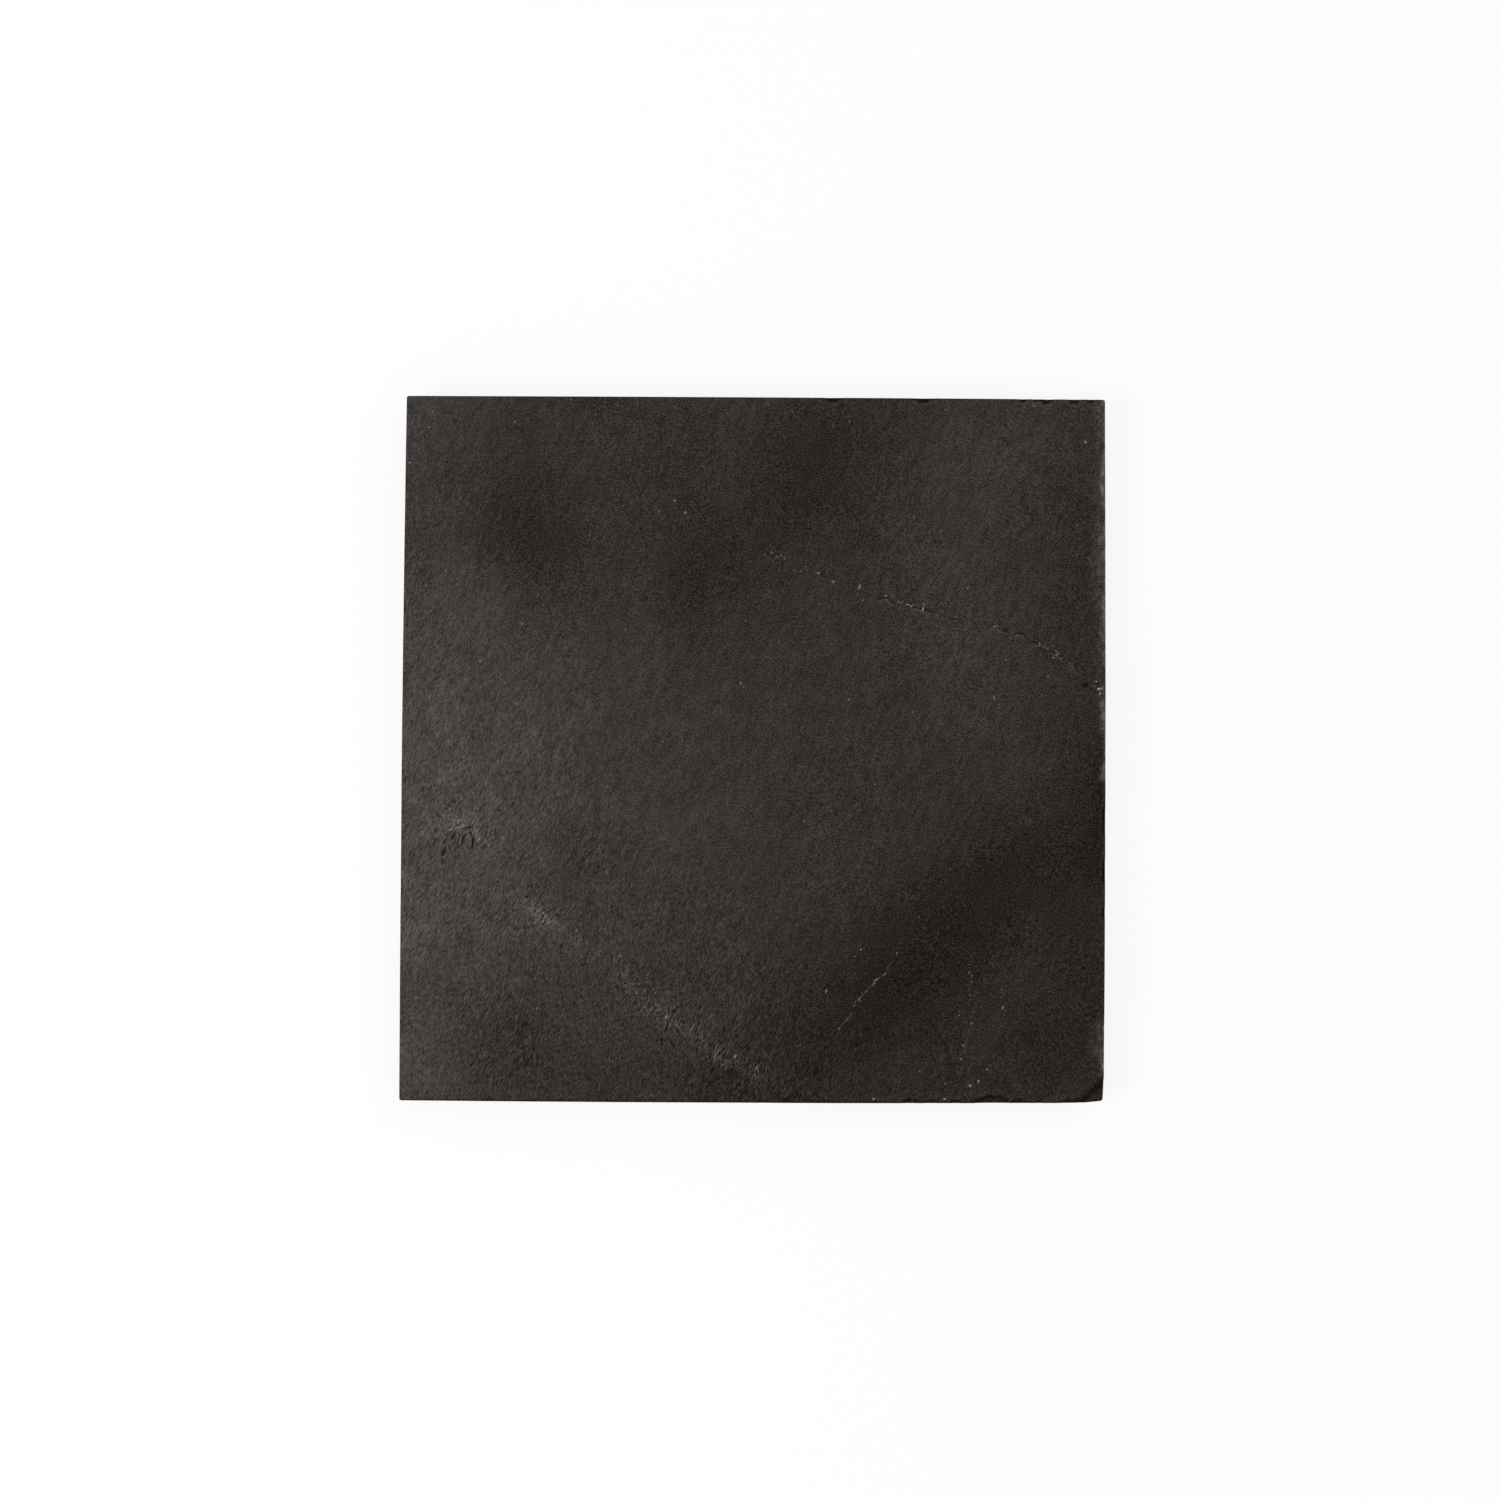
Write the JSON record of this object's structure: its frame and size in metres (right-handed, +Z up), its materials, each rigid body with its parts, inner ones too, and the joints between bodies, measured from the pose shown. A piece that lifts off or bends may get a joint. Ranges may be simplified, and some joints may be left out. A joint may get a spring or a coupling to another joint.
{
  "type": "slate trivet",
  "caption": "Square riven slate trivet with flaked edges, standing on rubber bumper feet stuck to its flat back.",
  "frame": {"origin": "on the table, under the middle of the slab's outline, level with the undersides of the feet", "axes": "+Z up out of the riven face, +X to the slab's right edge and +Y to its back edge"},
  "size_m": [0.2006, 0.2009, 0.0105],
  "materials": {
    "slate": "matte",
    "rubber": "matte",
    "adhesive": "satin"
  },
  "bodies": {
    "root": {"slate_slab": "slate", "foot_front_left": "rubber", "foot_front_right": "rubber", "foot_back_right": "rubber", "foot_back_left": "rubber", "adhesive_front_left": "adhesive", "adhesive_front_right": "adhesive", "adhesive_back_right": "adhesive", "adhesive_back_left": "adhesive"}
  },
  "joints": []
}
